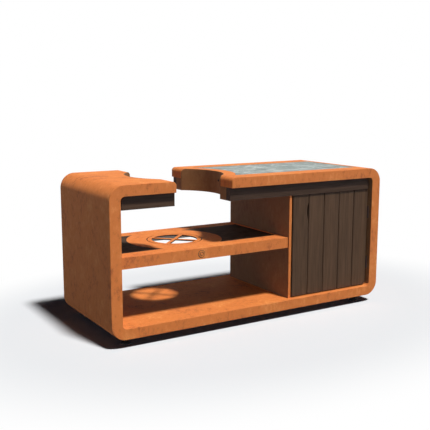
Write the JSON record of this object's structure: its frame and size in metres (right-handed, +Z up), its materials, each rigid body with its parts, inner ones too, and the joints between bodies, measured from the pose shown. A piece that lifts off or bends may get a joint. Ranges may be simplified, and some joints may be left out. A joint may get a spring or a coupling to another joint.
{
  "type": "kamado grill table",
  "caption": "Weathering-steel outdoor table: a rounded loop with a cut-out in its top for a kamado grill, a shelf under it, a stone worktop and a plank-door cabinet.",
  "frame": {"origin": "on the floor at the middle of the outline's width and depth", "axes": "+X to the right along the front as seen from the front, +Y to the back, +Z up"},
  "size_m": [1.915, 0.732, 0.895],
  "materials": {
    "weathering_steel": "weathering steel with a matt orange-brown rust patina",
    "dark_timber": "dark brown oiled boards, matt",
    "grey_stone": "honed grey-green marbled stone",
    "black_ceramic": "polished black slab",
    "bare_steel": "plain steel, satin",
    "black_rubber": "matt"
  },
  "bodies": {
    "table": {"left_wall_shell": "weathering_steel", "right_wall_shell": "weathering_steel", "base_deck_shell": "weathering_steel", "left_slab_shell": "weathering_steel", "right_slab_shell": "weathering_steel", "left_arc_liner": "weathering_steel", "right_arc_liner": "weathering_steel", "left_front_end_plate": "weathering_steel", "left_back_end_plate": "weathering_steel", "right_front_end_plate": "weathering_steel", "right_back_end_plate": "weathering_steel", "left_liner_screw": "bare_steel", "right_liner_screw": "bare_steel", "left_front_rail": "dark_timber", "left_back_rail": "dark_timber", "right_front_rail": "dark_timber", "right_back_rail": "dark_timber", "stone_worktop": "grey_stone", "worktop_beam_left": "bare_steel", "worktop_beam_right": "bare_steel", "kamado_shelf": "weathering_steel", "left_shelf_inlay": "black_ceramic", "right_shelf_inlay": "black_ceramic", "front_roundel": "weathering_steel", "shelf_beam_front": "bare_steel", "shelf_beam_back": "bare_steel", "kamado_shelf_angle_left": "bare_steel", "kamado_shelf_angle_right": "bare_steel", "divider_panel": "weathering_steel", "cabinet_back_panel": "weathering_steel", "cabinet_shelf_angle_left": "bare_steel", "cabinet_shelf_angle_right": "bare_steel", "door_stop": "dark_timber", "catch_magnet": "bare_steel", "hinge_wall_leaf_bottom": "bare_steel", "hinge_pin_bottom": "bare_steel", "hinge_wall_leaf_top": "bare_steel", "hinge_pin_top": "bare_steel", "foot_post_front_left": "weathering_steel", "foot_post_front_right": "weathering_steel", "foot_post_back_left": "weathering_steel", "foot_post_back_right": "weathering_steel", "foot_pad_front_left": "black_rubber", "foot_pad_front_right": "black_rubber", "foot_pad_back_left": "black_rubber", "foot_pad_back_right": "black_rubber"},
    "door": {"door_plank_1": "dark_timber", "door_plank_2": "dark_timber", "door_plank_3": "dark_timber", "door_plank_4": "dark_timber", "door_plank_5": "dark_timber", "door_ledge_bottom": "dark_timber", "door_ledge_middle": "dark_timber", "door_ledge_top": "dark_timber", "catch_strike": "bare_steel", "hinge_door_leaf_bottom": "bare_steel", "hinge_door_leaf_top": "bare_steel"},
    "support_ring": {"kamado_support_ring": "weathering_steel"},
    "cabinet_shelf": {"cabinet_shelf": "weathering_steel"}
  },
  "joints": [
    {"name": "door_hinge", "type": "hinge", "parent": "table", "child": "door", "pos_m": [0.8872, -0.3386, 0.43], "axis": [0, 0, 1], "range_deg": [0, 90]},
    {"name": "support_ring_lift", "type": "slide", "parent": "table", "child": "support_ring", "axis": [0, 0, 1], "range_m": [0, 0.06]},
    {"name": "cabinet_shelf_lift", "type": "slide", "parent": "table", "child": "cabinet_shelf", "axis": [0, 0, 1], "range_m": [0, 0.04]}
  ]
}
